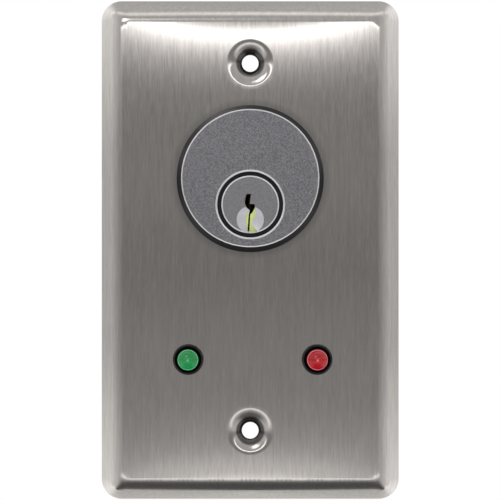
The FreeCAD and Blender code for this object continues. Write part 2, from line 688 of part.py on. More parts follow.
def make_nut_and_washer():
    washer_y = bracket_front_y() + BRACKET_SHEET
    nut_y = washer_y + WASHER_THICKNESS
    inner_r = THREAD_CREST_R + 0.05
    washer = rod_y(0, CYLINDER_Z, WASHER_R, washer_y, nut_y)
    washer = washer.cut(rod_y(0, CYLINDER_Z, inner_r, washer_y - 1, nut_y + 1))
    for i in range(WASHER_TEETH):
        notch = box(-1.1, 1.1, washer_y - 1, nut_y + 1, inner_r - 1, inner_r + 1.3)
        notch.rotate(V(0, 0, 0), INTO_WALL, 360 * i / WASHER_TEETH)
        notch.translate(V(0, 0, CYLINDER_Z))
        washer = washer.cut(notch)
    save("lock_washer", washer)

    nut = hexagon_y(0, CYLINDER_Z, NUT_ACROSS_FLATS, nut_y, nut_y + NUT_THICKNESS)
    corner_r = NUT_ACROSS_FLATS / math.sqrt(3)
    flat_r = NUT_ACROSS_FLATS / 2
    rise = (corner_r - flat_r) * math.tan(math.radians(30))
    barrel = turned_y(
        0,
        CYLINDER_Z,
        [
            (0, nut_y),
            (corner_r + 1, nut_y),
            (corner_r + 1, nut_y + NUT_THICKNESS - rise),
            (corner_r, nut_y + NUT_THICKNESS - rise),
            (flat_r - 0.3, nut_y + NUT_THICKNESS),
            (0, nut_y + NUT_THICKNESS),
        ],
    )
    nut = nut.common(barrel).cut(rod_y(0, CYLINDER_Z, inner_r, nut_y - 1, nut_y + NUT_THICKNESS + 1))
    save("lock_nut", nut)


# ---- snap switch -----------------------------------------------------------------------------
def make_switch_case():
    case = box(
        SWITCH_LEFT, SWITCH_RIGHT, SWITCH_FRONT_Y, SWITCH_COVER_Y, SWITCH_BOTTOM_Z, SWITCH_TOP_Z
    )
    upright = edges_where(case, lambda e: e.BoundBox.YLength > 1)
    case = case.makeFillet(0.6, upright)
    hollow = box(
        SWITCH_LEFT + SWITCH_WALL,
        SWITCH_RIGHT - SWITCH_WALL,
        SWITCH_FRONT_Y + SWITCH_WALL,
        SWITCH_COVER_Y + 1,
        SWITCH_BOTTOM_Z + SWITCH_WALL,
        SWITCH_TOP_Z - SWITCH_WALL,
    )
    for x, z in SWITCH_HOLES:
        hollow = hollow.cut(rod_y(x, z, SWITCH_BOSS_R, 0, BIG))
    case = case.cut(hollow)
    for ear_y in hinge_ear_places():
        ear = box(
            LEVER_PIVOT_X - 1.5,
            LEVER_PIVOT_X + 1.5,
            ear_y,
            ear_y + HINGE_EAR,
            SWITCH_TOP_Z - 0.5,
            LEVER_PIVOT_Z,
        )
        case = joined(case, ear, rod_y(LEVER_PIVOT_X, LEVER_PIVOT_Z, 1.5, ear_y, ear_y + HINGE_EAR))
    case = case.cut(rod_y(LEVER_PIVOT_X, LEVER_PIVOT_Z, HINGE_PIN_R, SWITCH_FRONT_Y - 1, BIG))
    case = case.cut(
        rod_z(PLUNGER_X, SWITCH_MID_Y, PLUNGER_R + PLUNGER_CLEARANCE, SWITCH_TOP_Z - 2, SWITCH_TOP_Z + 1)
    )
    for x, z in SWITCH_HOLES:
        case = case.cut(rod_y(x, z, SWITCH_HOLE_R, 0, BIG))
    for tab in terminal_stems():
        case = case.cut(tab)
    save("switch_case", case)


def hinge_ear_places():
    """The front of each of the two ears that stand either side of the lever."""
    gap = 0.15
    return (
        SWITCH_MID_Y - LEVER_WIDTH / 2 - gap - HINGE_EAR,
        SWITCH_MID_Y + LEVER_WIDTH / 2 + gap,
    )


def make_switch_cover():
    cover = box(SWITCH_LEFT, SWITCH_RIGHT, SWITCH_COVER_Y, SWITCH_BACK_Y, SWITCH_BOTTOM_Z, SWITCH_TOP_Z)
    cover = cover.makeFillet(0.6, edges_where(cover, lambda e: e.BoundBox.YLength > 1))
    rim = edges_where(cover, lambda e: e.BoundBox.YMin > SWITCH_BACK_Y - 0.01)
    cover = cover.makeChamfer(0.3, rim)
    for x, z in SWITCH_HOLES:
        cover = cover.cut(rod_y(x, z, SWITCH_HOLE_R, 0, BIG))
    save("switch_cover", cover)


def make_plunger():
    dome_r = 2.2
    shaft_top = PLUNGER_TOP_Z - (dome_r - math.sqrt(dome_r**2 - PLUNGER_R**2))
    flange_z = SWITCH_TOP_Z - SWITCH_WALL - 0.05
    shaft = rod_z(PLUNGER_X, SWITCH_MID_Y, PLUNGER_R, PLUNGER_BOTTOM_Z + 0.6, PLUNGER_TOP_Z)
    dome = Part.makeSphere(dome_r, V(PLUNGER_X, SWITCH_MID_Y, PLUNGER_TOP_Z - dome_r))
    upper = box(
        PLUNGER_X - 3,
        PLUNGER_X + 3,
        SWITCH_MID_Y - 3,
        SWITCH_MID_Y + 3,
        shaft_top - 0.3,
        PLUNGER_TOP_Z + 1,
    )
    shaft = shaft.cut(upper.cut(dome))
    collar = rod_z(PLUNGER_X, SWITCH_MID_Y, PLUNGER_R + 0.6, flange_z - 0.9, flange_z)
    nib = turned_z(
        PLUNGER_X,
        SWITCH_MID_Y,
        [
            (0, PLUNGER_BOTTOM_Z),
            (0.4, PLUNGER_BOTTOM_Z),
            (1.0, PLUNGER_BOTTOM_Z + 0.6),
            (1.0, PLUNGER_BOTTOM_Z + 1.2),
            (0, PLUNGER_BOTTOM_Z + 1.2),
        ],
    )
    save("switch_plunger", joined(shaft, collar, nib))


def tab_band():
    """The Y span that every flat terminal keeps to."""
    return SWITCH_MID_Y - TERMINAL_WIDTH / 2, SWITCH_MID_Y + TERMINAL_WIDTH / 2


def common_stem():
    y0, y1 = tab_band()
    return box(
        BLADE_POST_X,
        BLADE_POST_X + TERMINAL_SHEET,
        y0,
        y1,
        SWITCH_BOTTOM_Z - TERMINAL_REACH,
        BLADE_TOP_Z + 1.0,
    )


def open_stem():
    y0, y1 = tab_band()
    return box(
        OPEN_TAB_X,
        OPEN_TAB_X + TERMINAL_SHEET,
        y0,
        y1,
        SWITCH_BOTTOM_Z - TERMINAL_REACH,
        open_arm_z(),
    )


def open_arm_z():
    """Top of the arm under the blade's free end, where the lower contact stands."""
    swing = (BLADE_POST_X - CONTACT_X + CONTACT_R) * math.tan(math.radians(BLADE_TURN))
    return BLADE_BOTTOM_Z - CONTACT_HEIGHT - swing - CONTACT_HEIGHT - 0.06


def closed_tab_z():
    """The level at which the end terminal leaves the case."""
    return SWITCH_HOLES[0][1] + SWITCH_BOSS_R + 0.3


def closed_arm_z():
    """Underside of the arm over the blade's free end, where the upper contact hangs."""
    return BLADE_TOP_Z + CONTACT_HEIGHT + 0.05 + CONTACT_HEIGHT


def closed_tab():
    y0, y1 = tab_band()
    low = closed_tab_z()
    return box(
        SWITCH_LEFT - TERMINAL_REACH,
        SWITCH_LEFT + SWITCH_WALL + TERMINAL_SHEET,
        y0,
        y1,
        low,
        low + TERMINAL_SHEET,
    )


def terminal_stems():
    """The terminals where they pass the case's walls."""
    return (common_stem(), open_stem(), closed_tab())


def make_terminals():
    y0, y1 = tab_band()
    tip = SWITCH_BOTTOM_Z - TERMINAL_REACH
    hole_z = tip + 3.2

    def with_hole(stem, x):
        return stem.cut(rod_x(SWITCH_MID_Y, hole_z, TERMINAL_HOLE_R, x - 1, x + 2))

    def pointed(stem, x):
        """Takes the two corners off a downward tab so that a receptacle slides on."""
        for y, way in ((y0, 1), (y1, -1)):
            corner = [V(x - 1, y, tip), V(x - 1, y + way * 1.2, tip), V(x - 1, y, tip + 1.2)]
            stem = stem.cut(polygon_face(corner).extrude(V(TERMINAL_SHEET + 2, 0, 0)))
        return stem

    common = pointed(with_hole(common_stem(), BLADE_POST_X), BLADE_POST_X)
    save("common_terminal", common)

    arm_top = open_arm_z()
    open_arm = box(CONTACT_X - 1.4, OPEN_TAB_X, y0 + 1, y1 - 1, arm_top - TERMINAL_SHEET, arm_top)
    stem = pointed(with_hole(open_stem(), OPEN_TAB_X), OPEN_TAB_X)
    save("normally_open_terminal", joined(stem, open_arm))

    low, over = closed_tab_z(), closed_arm_z()
    inner_x = SWITCH_LEFT + SWITCH_WALL
    riser = box(inner_x, inner_x + TERMINAL_SHEET, y0 + 1, y1 - 1, low, over + TERMINAL_SHEET)
    arm = box(inner_x, CONTACT_X + 1.1, y0 + 1, y1 - 1, over, over + TERMINAL_SHEET)
    tab = closed_tab()
    eye_x = SWITCH_LEFT - TERMINAL_REACH + 3.2
    tab = tab.cut(rod_z(eye_x, SWITCH_MID_Y, TERMINAL_HOLE_R, low - 1, low + 2))
    end_x = SWITCH_LEFT - TERMINAL_REACH
    for y, way in ((y0, 1), (y1, -1)):
        corner = [V(end_x, y, low - 1), V(end_x, y + way * 1.2, low - 1), V(end_x + 1.2, y, low - 1)]
        tab = tab.cut(polygon_face(corner).extrude(V(0, 0, TERMINAL_SHEET + 2)))
    save("normally_closed_terminal", joined(tab, riser, arm))

    lower = rod_z(CONTACT_X, SWITCH_MID_Y, CONTACT_R, arm_top, arm_top + CONTACT_HEIGHT)
    upper = rod_z(CONTACT_X, SWITCH_MID_Y, CONTACT_R, over - CONTACT_HEIGHT, over)
    save("fixed_contacts", lower, upper)


def make_blade():
    half = BLADE_WIDTH / 2
    blade = box(
        CONTACT_X - 1.3,
        BLADE_POST_X - 0.03,
        SWITCH_MID_Y - half,
        SWITCH_MID_Y + half,
        BLADE_BOTTOM_Z,
        BLADE_TOP_Z,
    )
    window = box(
        PLUNGER_X + 2.0,
        BLADE_POST_X - 2.0,
        SWITCH_MID_Y - half / 2,
        SWITCH_MID_Y + half / 2,
        BLADE_BOTTOM_Z - 1,
        BLADE_TOP_Z + 1,
    )
    save("contact_blade", blade.cut(window))
    save(
        "moving_contacts",
        rod_z(CONTACT_X, SWITCH_MID_Y, CONTACT_R, BLADE_TOP_Z, BLADE_TOP_Z + CONTACT_HEIGHT),
        rod_z(CONTACT_X, SWITCH_MID_Y, CONTACT_R, BLADE_BOTTOM_Z - CONTACT_HEIGHT, BLADE_BOTTOM_Z),
    )


# ---- roller lever ----------------------------------------------------------------------------
def at_lever_rest(shape):
    """Tilts a lever piece, modelled with the lever pressed level, up to where it rests."""
    shape.rotate(V(LEVER_PIVOT_X, 0, LEVER_PIVOT_Z), INTO_WALL, -LEVER_REST_ANGLE)
    return shape


def make_lever():
    y0, y1 = SWITCH_MID_Y - LEVER_WIDTH / 2, SWITCH_MID_Y + LEVER_WIDTH / 2
    half_sheet = LEVER_SHEET / 2
    roller_x = LEVER_PIVOT_X + LEVER_ARM
    roller_z = LEVER_PIVOT_Z + ROLLER_RISE
    bore_r = HINGE_PIN_R + HINGE_CLEARANCE
    strip = box(
        LEVER_PIVOT_X,
        roller_x + ROLLER_R + 0.4,
        y0,
        y1,
        LEVER_PIVOT_Z - half_sheet,
        LEVER_PIVOT_Z + half_sheet,
    )
    lever = joined(strip, rod_y(LEVER_PIVOT_X, LEVER_PIVOT_Z, LEVER_KNUCKLE_R, y0, y1))
    for ear_y in (y0, y1 - LEVER_SHEET):
        web = box(roller_x - 1.6, roller_x + 1.6, ear_y, ear_y + LEVER_SHEET, LEVER_PIVOT_Z, roller_z)
        lever = joined(lever, web, rod_y(roller_x, roller_z, 1.6, ear_y, ear_y + LEVER_SHEET))
    lever = lever.cut(rod_y(LEVER_PIVOT_X, LEVER_PIVOT_Z, bore_r, y0 - 1, y1 + 1))
    lever = lever.cut(rod_y(roller_x, roller_z, ROLLER_PIN_R, y0 - 1, y1 + 1))
    save("switch_lever", at_lever_rest(lever))

    mid0, mid1 = SWITCH_MID_Y - ROLLER_WIDTH / 2, SWITCH_MID_Y + ROLLER_WIDTH / 2
    roller = rod_y(roller_x, roller_z, ROLLER_R, mid0, mid1)
    roller = roller.makeChamfer(0.25, edges_where(roller, lambda e: e.BoundBox.YLength < 0.01))
    roller = roller.cut(rod_y(roller_x, roller_z, ROLLER_PIN_R + HINGE_CLEARANCE, mid0 - 1, mid1 + 1))
    save("lever_roller", at_lever_rest(roller))

    head = 0.35
    pin = joined(
        rod_y(roller_x, roller_z, ROLLER_PIN_R, y0 - head, y1 + head),
        rod_y(roller_x, roller_z, ROLLER_PIN_R + 0.4, y0 - head, y0),
        rod_y(roller_x, roller_z, ROLLER_PIN_R + 0.4, y1, y1 + head),
    )
    save("roller_pin", at_lever_rest(pin))

    ears = hinge_ear_places()
    hinge_pin = rod_y(LEVER_PIVOT_X, LEVER_PIVOT_Z, HINGE_PIN_R, ears[0] - 0.3, ears[1] + HINGE_EAR + 0.3)
    save("lever_hinge_pin", hinge_pin)


# ---- switch fasteners ------------------------------------------------------------------------
def make_switch_fasteners():
    head_y = SWITCH_FRONT_Y - BRACKET_SHEET
    nut_end = SWITCH_BACK_Y + SWITCH_NUT_THICKNESS
    screws, nuts = [], []
    for x, z in SWITCH_HOLES:
        screw = turned_y(
            x,
            z,
            [
                (0, head_y - SWITCH_SCREW_HEAD),
                (SWITCH_SCREW_HEAD_R - 0.7, head_y - SWITCH_SCREW_HEAD),
                (SWITCH_SCREW_HEAD_R, head_y - SWITCH_SCREW_HEAD + 0.8),
                (SWITCH_SCREW_HEAD_R, head_y),
                (SWITCH_SCREW_R, head_y),
                (SWITCH_SCREW_R, nut_end + 0.6),
                (SWITCH_SCREW_R - 0.4, nut_end + 1.0),
                (0, nut_end + 1.0),
            ],
        )
        half = SWITCH_SCREW_HEAD_R * 0.95
        slot_y = head_y - SWITCH_SCREW_HEAD + 0.9
        slot = box(x - half - 1, x + half + 1, head_y - 5, slot_y, z - 0.35, z + 0.35)
        screws.append(screw.cut(slot))
        nut = hexagon_y(x, z, SWITCH_NUT_FLATS, SWITCH_BACK_Y, nut_end)
        nuts.append(nut.cut(rod_y(x, z, SWITCH_SCREW_R + 0.02, SWITCH_BACK_Y - 1, nut_end + 1)))
    save("switch_screws", *screws)
    save("switch_nuts", *nuts)


# ---- lamps -----------------------------------------------------------------------------------
def lamp_frame(x):
    """The two leads of a lamp; one carries the little reflector cup inside the lens."""
    half = LEAD_SIDE / 2
    cup_y = LAMP_TOP_Y + LAMP_R + 0.6
    leads = []
    for offset, length in ((-LEAD_PITCH / 2, LEAD_LENGTH), (LEAD_PITCH / 2, LEAD_LENGTH + 1.5)):
        lead_x = x + offset
        post = box(
            lead_x - half,
            lead_x + half,
            cup_y + 0.8,
            LAMP_BACK_Y + length,
            LAMP_Z - half,
            LAMP_Z + half,
        )
        leads.append(post)
    shelf_x = x - LEAD_PITCH / 2 - half
    shelf = box(shelf_x, x + 0.45, cup_y + 0.8, cup_y + 1.6, LAMP_Z - half, LAMP_Z + half)
    cup = turned_y(
        x - 0.25,
        LAMP_Z,
        [
            (0, cup_y + 0.9),
            (0.45, cup_y + 0.9),
            (0.8, cup_y),
            (0.6, cup_y),
            (0.3, cup_y + 0.45),
            (0, cup_y + 0.45),
        ],
    )
    leads[0] = joined(leads[0], shelf, cup)
    return leads


def make_lamp(x, lamp_name, side_name):
    dome_y = LAMP_TOP_Y + LAMP_R
    lens = turned_y(
        x,
        LAMP_Z,
        [
            (0, dome_y),
            (LAMP_R, dome_y),
            (LAMP_R, LAMP_BACK_Y - LAMP_RIM),
            (LAMP_RIM_R, LAMP_BACK_Y - LAMP_RIM),
            (LAMP_RIM_R, LAMP_BACK_Y),
            (0, LAMP_BACK_Y),
        ],
    )
    ball = Part.makeSphere(LAMP_R, V(x, dome_y, LAMP_Z))
    lens = joined(lens, ball)
    leads = lamp_frame(x)
    for lead in leads:
        lens = lens.cut(lead)
    save(f"{lamp_name}_lamp", lens)
    save(f"{lamp_name}_lamp_leads", *leads)

    bore_r = LAMP_R + HOLDER_CLEARANCE
    barrel_end = LAMP_BACK_Y - LAMP_RIM
    holder = turned_y(
        x,
        LAMP_Z,
        [
            (bore_r, LAMP_HOLDER_FACE_Y + HOLDER_MOUTH),
            (bore_r + HOLDER_MOUTH * 0.8, LAMP_HOLDER_FACE_Y),
            (HOLDER_RIM_R - 0.25, LAMP_HOLDER_FACE_Y),
            (HOLDER_RIM_R, LAMP_HOLDER_FACE_Y + 0.35),
            (HOLDER_RIM_R, PLATE_FACE_Y),
            (HOLDER_BARREL_R, PLATE_FACE_Y),
            (HOLDER_BARREL_R, barrel_end),
            (bore_r, barrel_end),
        ],
    )
    save(f"lamp_holder_{side_name}", holder)

    inner_r = HOLDER_BARREL_R + HOLDER_CLEARANCE
    ring = turned_y(
        x,
        LAMP_Z,
        [
            (inner_r, PLATE_BACK_Y + 0.02),
            (RING_R, PLATE_BACK_Y + 0.02),
            (RING_R, LAMP_BACK_Y),
            (RING_R - 0.6, LAMP_BACK_Y + RING_LIP),
            (LAMP_RIM_R - 0.8, LAMP_BACK_Y + RING_LIP),
            (LAMP_RIM_R - 0.8, LAMP_BACK_Y),
            (inner_r, LAMP_BACK_Y),
        ],
    )
    save(f"lamp_ring_{side_name}", ring)


def main():
    os.makedirs("parts", exist_ok=True)
    make_faceplate()
    make_cylinder_shell()
    make_cylinder_plug()
    make_pins()
    make_cam()
    make_bracket()
    make_nut_and_washer()
    make_switch_case()
    make_switch_cover()
    make_plunger()
    make_terminals()
    make_blade()
    make_lever()
    make_switch_fasteners()
    make_lamp(LEFT_LAMP_X, "green", "left")
    make_lamp(RIGHT_LAMP_X, "red", "right")


main()
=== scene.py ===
import json
import math

import bpy
import numpy as np
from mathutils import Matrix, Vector
from mathutils.geometry import delaunay_2d_cdt


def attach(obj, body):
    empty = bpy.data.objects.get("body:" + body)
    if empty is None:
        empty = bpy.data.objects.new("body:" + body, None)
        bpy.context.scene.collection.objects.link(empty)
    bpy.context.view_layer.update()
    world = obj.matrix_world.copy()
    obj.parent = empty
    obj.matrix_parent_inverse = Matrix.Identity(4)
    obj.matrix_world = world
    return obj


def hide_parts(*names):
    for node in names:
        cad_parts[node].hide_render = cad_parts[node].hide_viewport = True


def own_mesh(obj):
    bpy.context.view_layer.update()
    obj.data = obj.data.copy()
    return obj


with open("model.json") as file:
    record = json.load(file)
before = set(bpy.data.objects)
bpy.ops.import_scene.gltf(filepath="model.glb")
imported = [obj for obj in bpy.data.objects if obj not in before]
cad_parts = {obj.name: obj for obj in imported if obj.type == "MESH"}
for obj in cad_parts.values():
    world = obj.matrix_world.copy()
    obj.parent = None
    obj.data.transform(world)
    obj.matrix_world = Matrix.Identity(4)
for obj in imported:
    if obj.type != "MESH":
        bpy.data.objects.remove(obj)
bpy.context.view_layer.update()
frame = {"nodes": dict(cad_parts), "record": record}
nodes = frame["nodes"]


# ---- the wall plate's sizes, in millimetres and as the part has them -------------------------
PLATE_WIDTH, PLATE_HEIGHT, PLATE_DEPTH, SHEET = 68.2, 114.3, 5.6, 0.9
CORNER_R = 4.6
FLANK_SLOPE = math.tan(math.radians(53))
SHOULDER = 1.86
MITRE = 2.2
SCREWS_Z = (0.7 + 41.67, 0.7 - 41.67)
HOLE_R, CONE_R, CONE_DROP, ROLL = 1.9, 3.6, 0.05, 2.0
CONE_SLOPE = math.tan(math.radians(47))
CYLINDER = (0.0, 16.1, 14.85)
LAMPS = ((-14.0, -24.7, 3.2), (15.1, -24.7, 3.2))
HOLES = ((0, SCREWS_Z[0], HOLE_R), (0, SCREWS_Z[1], HOLE_R), CYLINDER, *LAMPS)

# Where the mesh of the plate has its points.
CORNERS = ((1, 1), (-1, 1), (-1, -1), (1, -1))
CORNER_STEPS, SIDE_STEP = 12, 1.0
EDGE_INSETS = (0.8, 1.6, 2.3, 2.7, 3.1, 3.5, 3.9, 4.3, 4.7, 5.2)
DIMPLE_RINGS = (2.15, 2.4, 2.65, 2.9, 3.2, 3.5, 3.8, 4.1, 4.4, 4.7, 5.0, 5.4)
DIMPLE_STEPS, CYLINDER_STEPS, LAMP_STEPS = 64, 96, 48
GRID_INSET, GRID_ACROSS, GRID_UP = 5.6, 64, 120
GRID_OFF_SCREW, GRID_OFF_HOLE = 5.8, 0.5


# ---- node helpers ----------------------------------------------------------------------------
def new_material(name):
    """An empty material with its shader; returns the material, its node tree and the shader."""
    material = bpy.data.materials.new(name)
    material.use_nodes = True
    tree = material.node_tree
    shader = next(n for n in tree.nodes if n.type == "BSDF_PRINCIPLED")
    return material, tree, shader


def add(tree, kind, inputs=None, **settings):
    """Adds a node; inputs maps a socket to a value or to the output that feeds it."""
    node = tree.nodes.new(kind)
    for key, value in settings.items():
        setattr(node, key, value)
    for key, value in (inputs or {}).items():
        socket = node.inputs[key]
        if isinstance(value, bpy.types.NodeSocket):
            tree.links.new(value, socket)
        else:
            socket.default_value = value
    return node


def place(tree, scale):
    """The point's place in the part, stretched by scale; metres times scale."""
    coords = add(tree, "ShaderNodeTexCoord")
    mapping = add(tree, "ShaderNodeMapping", {"Vector": coords.outputs["Object"], "Scale": scale})
    return mapping.outputs["Vector"]


def noise(tree, scale, size, detail=2.0, roughness=0.5):
    made = add(
        tree,
        "ShaderNodeTexNoise",
        {"Vector": place(tree, scale), "Scale": size, "Detail": detail, "Roughness": roughness},
    )
    return made.outputs["Fac"]


def math_node(tree, operation, first, second=0.0):
    made = add(tree, "ShaderNodeMath", {0: first, 1: second}, operation=operation)
    return made.outputs[0]


def spread(tree, value, low, high, to_low=0.0, to_high=1.0):
    made = add(
        tree,
        "ShaderNodeMapRange",
        {"Value": value, "From Min": low, "From Max": high, "To Min": to_low, "To Max": to_high},
    )
    return made.outputs["Result"]


def blend_colours(tree, factor, dark, light):
    made = add(tree, "ShaderNodeMix", data_type="RGBA")
    tree.links.new(factor, made.inputs["Factor"])
    made.inputs["A"].default_value = (*dark, 1)
    made.inputs["B"].default_value = (*light, 1)
    return made.outputs["Result"]


def ramp(tree, turn, stops):
    """A brightness that follows stops of (degrees, brightness); turn is 0 at -180 degrees and 1
    at 180 degrees."""
    made = add(tree, "ShaderNodeFloatCurve", {"Value": turn})
    curve = made.mapping.curves[0]
    top = max(value for _, value in stops)
    places = [((degrees + 180) / 360, value / top) for degrees, value in stops]
    while len(curve.points) < len(places):
        curve.points.new(0.5, 0.5)
    for point, (x, y) in zip(curve.points, places):
        point.location = (x, y)
        point.handle_type = "VECTOR"
    made.mapping.update()
    return math_node(tree, "MULTIPLY", made.outputs[0], top)


def bump(tree, height, distance, strength=1.0):
    made = add(
        tree, "ShaderNodeBump", {"Height": height, "Distance": distance, "Strength": strength}
    )
    return made.outputs["Normal"]


# ---- materials -------------------------------------------------------------------------------
# Places on the part for the materials, in metres. An axis is (x, z) and runs front to back.
CYLINDER_AXIS = (0.0, 0.0161)
PLUG_AXIS = (0.0, 0.0102)
DISH_AXIS = (0.0, 0.0068)
GREEN_AXIS = (-0.014, -0.0247)
RED_AXIS = (0.0151, -0.0247)
SCREW_SHADE = (0.0034, 0.0030)
HEAD_SHADE = (0.0183, 0.0166)
HEAD_LIP = (0.01520, 0.01547)
BORE_LIP = (0.00738, 0.00780)
PLUG_EDGE = (0.00616, 0.00647)
DISH_R = 0.0032
GROOVE_R = 0.00640
LAMP_RING = (0.00212, 0.00232)
LAMP_SPOT_R = 0.00026
LAMP_EDGE_R = 0.00236
DISH_Y = -0.00879
GROOVE_Y = -0.00872
KEYWAY_Y = -0.00806
DEEP_KEYWAY_Y = -0.0075

# Darker and lighter tone of each grain, and single colours.
STEEL_TONES = ((0.585, 0.553, 0.526), (0.695, 0.660, 0.630))
HEAD_TONES = ((0.16, 0.158, 0.172), (0.42, 0.412, 0.436))
PLUG_TONES = ((0.27, 0.266, 0.275), (0.39, 0.383, 0.395))
SCREW_SHADOW = (0.13, 0.125, 0.12)
HEAD_SHADOW = (0.16, 0.155, 0.15)
# Painted highlight for the turned lips and edges of the head and the plug.
NICKEL_PAINTED_HIGHLIGHT = (0.78, 0.78, 0.80)
# Painted shade for the head's flank and the gap round the plug.
NICKEL_PAINTED_SHADE = (0.035, 0.035, 0.04)
# Pale milled dish: the cut surface, with a painted highlight in its colour.
MILLED_DISH_PAINTED_HIGHLIGHT = (0.68, 0.665, 0.70)
KEYWAY_BRASS = (0.86, 0.97, 0.40)
# Painted shade deep in the keyway.
KEYWAY_PAINTED_SHADE = (0.05, 0.035, 0.02)
# Painted shade in the groove round the plug.
GROOVE_PAINTED_SHADE = (0.05, 0.05, 0.055)
# Painted dark reflection of the black holder at the lens's edge.
LAMP_EDGE_PAINTED_REFLECTION = (0.004, 0.004, 0.004)

# Heights of the surface textures, in metres.
STEEL_GRAIN_HEIGHT = 0.0000016
SATIN_HEIGHT = 0.000006
PLATED_HEIGHT = 0.00002
MOULDED_HEIGHT = 0.000004


def radius_about(tree, axis):
    """How far a point is from an axis that runs front to back, in metres."""
    parts = add(tree, "ShaderNodeSeparateXYZ", {"Vector": place(tree, (1, 1, 1))}).outputs
    across = math_node(tree, "SUBTRACT", parts["X"], axis[0])
    up = math_node(tree, "SUBTRACT", parts["Z"], axis[1])
    squares = math_node(
        tree, "ADD", math_node(tree, "POWER", across, 2.0), math_node(tree, "POWER", up, 2.0)
    )
    return math_node(tree, "SQRT", squares)


def depth_behind(tree, y):
    """1 where a point lies further back than y, else 0."""
    parts = add(tree, "ShaderNodeSeparateXYZ", {"Vector": place(tree, (1, 1, 1))}).outputs
    return math_node(tree, "GREATER_THAN", parts["Y"], y)


def between(tree, value, low, high):
    """1 where a value lies between two limits, else 0."""
    above = math_node(tree, "GREATER_THAN", value, low)
    below = math_node(tree, "LESS_THAN", value, high)
    return math_node(tree, "MULTIPLY", above, below)


def mix_values(tree, factor, plain_value, marked_value):
    made = add(tree, "ShaderNodeMix", {"Factor": factor, "A": plain_value, "B": marked_value})
    return made.outputs["Result"]


def mix_colours(tree, factor, base, marked):
    made = add(tree, "ShaderNodeMix", data_type="RGBA")
    tree.links.new(factor, made.inputs["Factor"])
    tree.links.new(base, made.inputs["A"])
    made.inputs["B"].default_value = (*marked, 1)
    return made.outputs["Result"]


def brushed_steel():
    """Stainless sheet with a fine grain that runs up and down the plate."""
    material, tree, shader = new_material("brushed_steel")
    fine = noise(tree, (1, 1, 0.07), 4300, 3.0, 0.6)
    coarse = noise(tree, (1, 1, 0.08), 1500, 2.0, 0.55)
    grain = math_node(tree, "ADD", fine, coarse)
    tint = blend_colours(tree, spread(tree, grain, 0.7, 1.3), *STEEL_TONES)
    top, bottom = [radius_about(tree, (0.0, z / 1000)) for z in SCREWS_Z]
    from_screw = math_node(tree, "MINIMUM", top, bottom)
    tint = mix_colours(tree, spread(tree, from_screw, *SCREW_SHADE), tint, SCREW_SHADOW)
    near_head = spread(tree, radius_about(tree, CYLINDER_AXIS), *HEAD_SHADE, 0.0, 0.35)
    tint = mix_colours(tree, near_head, tint, HEAD_SHADOW)
    tree.links.new(tint, shader.inputs["Base Color"])
    tree.links.new(spread(tree, fine, 0.3, 0.7, 0.12, 0.18), shader.inputs["Roughness"])
    tree.links.new(bump(tree, grain, STEEL_GRAIN_HEIGHT), shader.inputs["Normal"])
    shader.inputs["Metallic"].default_value = 1.0
    shader.inputs["Anisotropic"].default_value = 0.8
    return material


def satin_metal(name, dark, light, size, rough):
    """Fine sand-like satin plate."""
    material, tree, shader = new_material(name)
    grit = noise(tree, (1, 1, 1), size, 2.0, 0.7)
    tree.links.new(
        blend_colours(tree, spread(tree, grit, 0.35, 0.65), dark, light), shader.inputs["Base Color"]
    )
    tree.links.new(spread(tree, grit, 0.3, 0.7, *rough), shader.inputs["Roughness"])
    tree.links.new(bump(tree, grit, SATIN_HEIGHT), shader.inputs["Normal"])
    shader.inputs["Metallic"].default_value = 1.0
    return material


def plated_head():
    """The cylinder's satin nickel: sandy face, turned edges with a painted highlight, and painted
    shade on the flank and in the bore round the plug.
    """
    material, tree, shader = new_material("satin_nickel")
    grit = noise(tree, (1, 1, 1), 3600, 3.0, 0.85)
    colour = blend_colours(tree, spread(tree, grit, 0.36, 0.64), *HEAD_TONES)
    radius = radius_about(tree, CYLINDER_AXIS)
    plug_radius = radius_about(tree, PLUG_AXIS)
    lip = between(tree, radius, *HEAD_LIP)
    bore_lip = between(tree, plug_radius, *BORE_LIP)
    # The turned lips get a painted highlight: pale colour, lower roughness and metallic.
    bright = math_node(tree, "MAXIMUM", lip, bore_lip)
    flank = math_node(tree, "GREATER_THAN", radius, HEAD_LIP[1])
    well = math_node(tree, "LESS_THAN", plug_radius, BORE_LIP[0])
    # The flank and the gap round the plug get painted shade.
    dark = math_node(tree, "MAXIMUM", flank, well)
    colour = mix_colours(tree, bright, colour, NICKEL_PAINTED_HIGHLIGHT)
    colour = mix_colours(tree, dark, colour, NICKEL_PAINTED_SHADE)
    tree.links.new(colour, shader.inputs["Base Color"])
    rough = spread(tree, grit, 0.3, 0.7, 0.34, 0.46)
    rough = mix_values(tree, bright, rough, 0.25)
    tree.links.new(rough, shader.inputs["Roughness"])
    tree.links.new(bump(tree, grit, PLATED_HEIGHT), shader.inputs["Normal"])
    tree.links.new(mix_values(tree, bright, 1.0, 0.35), shader.inputs["Metallic"])
    return material


